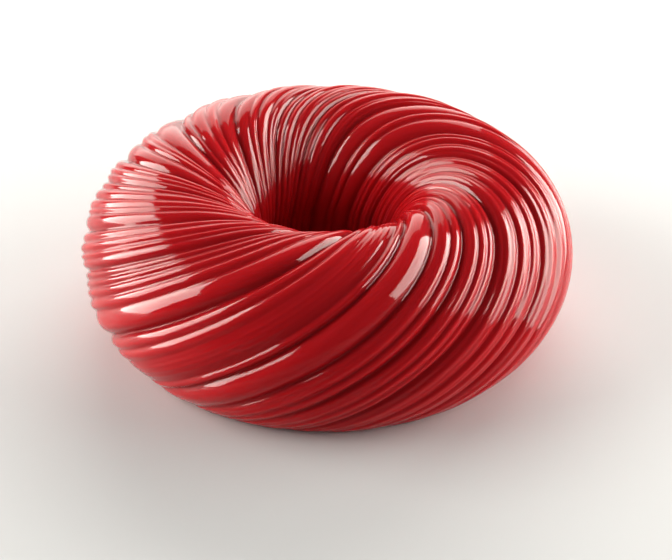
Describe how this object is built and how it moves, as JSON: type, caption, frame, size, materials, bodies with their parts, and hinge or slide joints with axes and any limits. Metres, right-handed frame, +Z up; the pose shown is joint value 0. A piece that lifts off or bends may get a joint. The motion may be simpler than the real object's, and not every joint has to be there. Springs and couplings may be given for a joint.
{
  "type": "glazed ring cake",
  "caption": "Ring cake moulded with twisted flutes and coated in red mirror glaze, a mousse ring closed over fruit, sponge and crisp layers, standing on a flat base.",
  "frame": {"origin": "centre of the ring, on the surface that the cake stands on", "axes": "+Z up through the centre hole, -Y towards the front view, +X to the right of the front view"},
  "size_m": [0.2195, 0.2195, 0.076],
  "materials": {
    "mirror_glaze": "polished",
    "mousse": "matte",
    "fruit_jelly": "gloss",
    "pale_sponge": "matte",
    "praline_crunch": "matte",
    "cocoa_sponge": "matte"
  },
  "bodies": {
    "root": {"glaze_coat": "mirror_glaze", "mousse_body": "mousse", "fruit_insert": "fruit_jelly", "insert_sponge": "pale_sponge", "crunch_layer": "praline_crunch", "base_sponge": "cocoa_sponge"}
  },
  "joints": []
}
